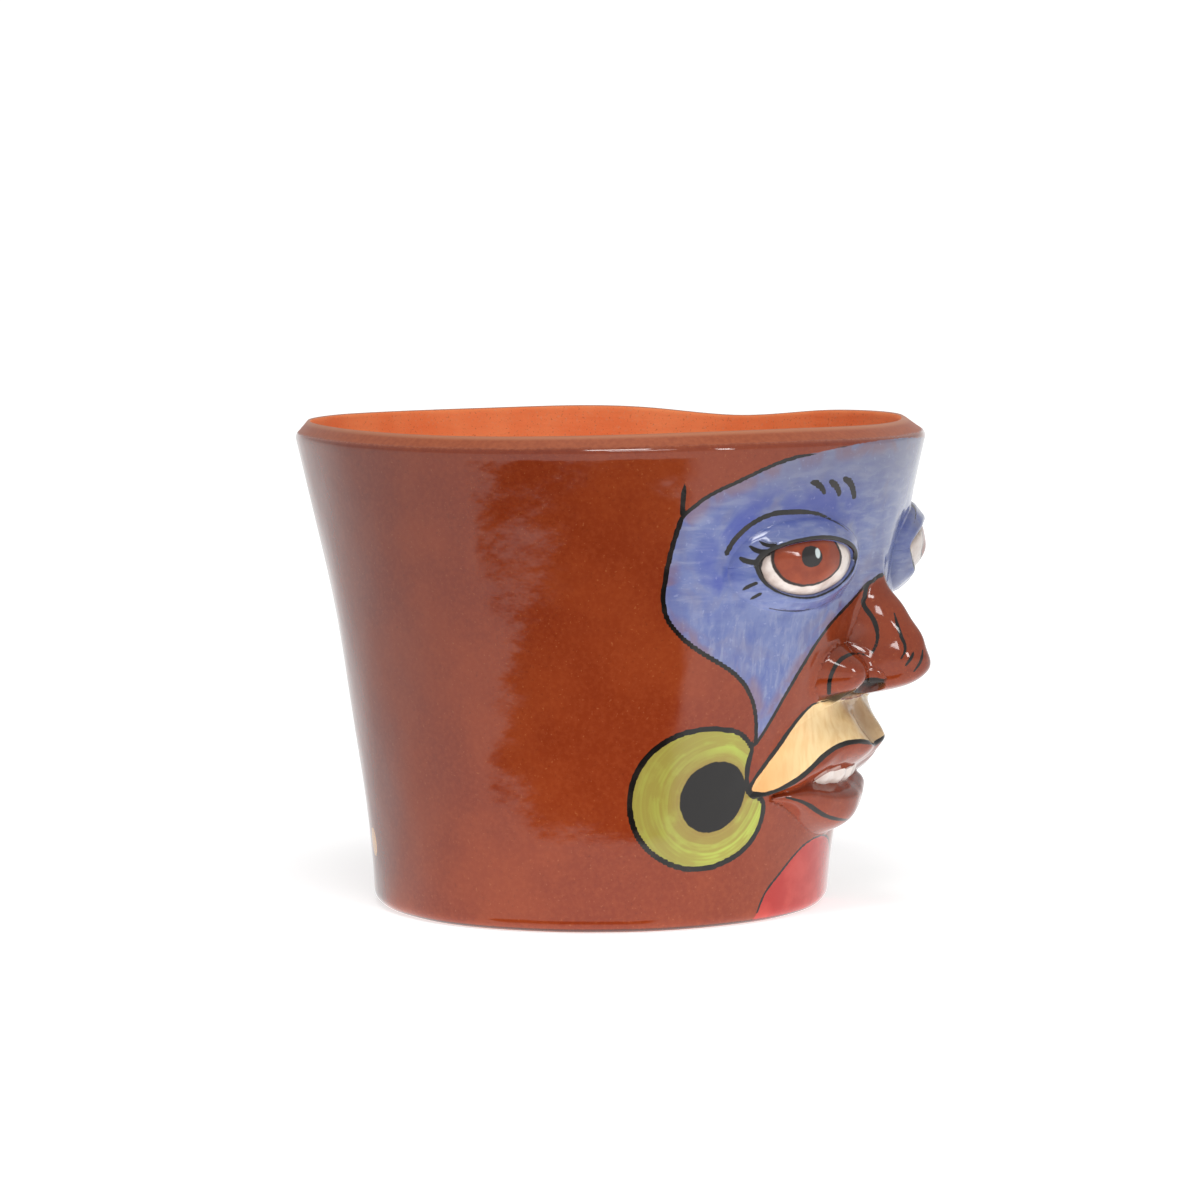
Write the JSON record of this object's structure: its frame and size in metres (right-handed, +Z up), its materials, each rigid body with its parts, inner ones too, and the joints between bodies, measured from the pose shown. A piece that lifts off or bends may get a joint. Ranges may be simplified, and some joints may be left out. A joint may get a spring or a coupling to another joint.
{
  "type": "tiki mug",
  "caption": "Hand-built glazed earthenware face mug with no handle: a flared round cup with a modelled nose, eyes and lips on its front and painted patches and rings around them.",
  "frame": {"origin": "the centre of the flat foot, on the surface the mug stands on", "axes": "+Z is up, out of the mouth of the cup; the face looks along -Y; +X is towards the face's own left eye"},
  "size_m": [0.109, 0.1132, 0.0838],
  "materials": {
    "red_glaze": "clear gloss glaze over red-brown earthenware",
    "bare_clay": "matte unglazed terracotta",
    "blue_glaze": "brushed blue underglaze below clear gloss",
    "white_glaze": "off-white underglaze below clear gloss",
    "yellow_glaze": "yellow ochre underglaze below clear gloss"
  },
  "bodies": {
    "root": {"cup_wall": "red_glaze", "floor_disc": "bare_clay", "nose": "red_glaze", "nose_wing_right": "red_glaze", "nose_wing_left": "red_glaze", "eyeball_right": "white_glaze", "eyeball_left": "white_glaze", "upper_eyelid_right": "red_glaze", "upper_eyelid_left": "red_glaze", "lower_eyelid_right": "blue_glaze", "lower_eyelid_left": "blue_glaze", "upper_lip": "yellow_glaze", "lower_lip": "red_glaze", "teeth_strip": "white_glaze"}
  },
  "joints": []
}
